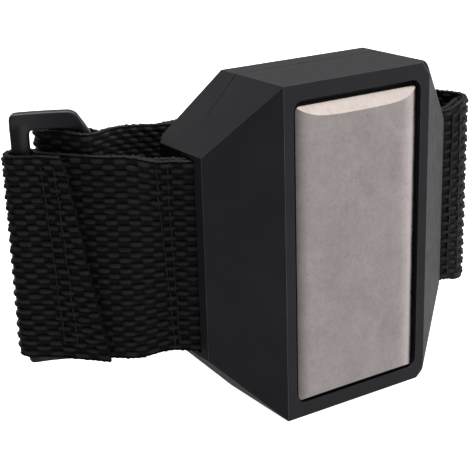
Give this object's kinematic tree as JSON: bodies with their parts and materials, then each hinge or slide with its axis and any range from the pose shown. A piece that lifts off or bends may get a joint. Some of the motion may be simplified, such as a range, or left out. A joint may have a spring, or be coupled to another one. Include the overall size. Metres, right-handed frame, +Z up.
{
  "type": "wrist pin holder",
  "caption": "Magnetic pin holder for the wrist: steel plate in an eight-sided black housing on a webbing strap with a buckle ring.",
  "frame": {"origin": "centre of the housing's flat bottom face, on which it stands", "axes": "+Z up along the steel plate, -Y the way the plate faces, +X towards the side away from the buckle"},
  "size_m": [0.0936, 0.0391, 0.062],
  "materials": {
    "housing_plastic": "fine moulded grain",
    "plate_steel": "satin",
    "ferrite": "ground",
    "plain_steel": "zinc plated",
    "foam": "open cell",
    "webbing": "coarse plain weave",
    "buckle_plastic": "satin moulded",
    "tape": "hook and loop pile",
    "thread": "twisted"
  },
  "bodies": {
    "housing": {"front_shell": "housing_plastic", "back_cover": "housing_plastic", "steel_face_plate": "plate_steel", "magnet_upper": "ferrite", "magnet_lower": "ferrite", "magnet_keeper": "plain_steel", "foam_pad": "foam", "strap_pin_left": "plain_steel", "strap_pin_right": "plain_steel", "cover_screw_1": "plain_steel", "cover_screw_2": "plain_steel", "cover_screw_3": "plain_steel", "cover_screw_4": "plain_steel", "left_strap": "webbing", "right_strap": "webbing", "loop_tape": "tape", "stitch_row_left_1": "thread", "stitch_row_left_2": "thread", "stitch_row_ring_1": "thread", "stitch_row_ring_2": "thread", "stitch_row_right_1": "thread", "stitch_row_right_2": "thread"},
    "ring": {"buckle_ring": "buckle_plastic"},
    "tail": {"strap_tail": "webbing", "hook_tape": "tape"}
  },
  "joints": [
    {"name": "ring_swing", "type": "hinge", "parent": "housing", "child": "ring", "pos_m": [-0.0499, 0.02298, 0.031], "axis": [0, 0, 1], "range_deg": [-1.5, 12]},
    {"name": "tail_peel", "type": "hinge", "parent": "housing", "child": "tail", "pos_m": [-0.0414, 0.0286, 0.031], "axis": [0, 0, 1], "range_deg": [0, 110]}
  ]
}
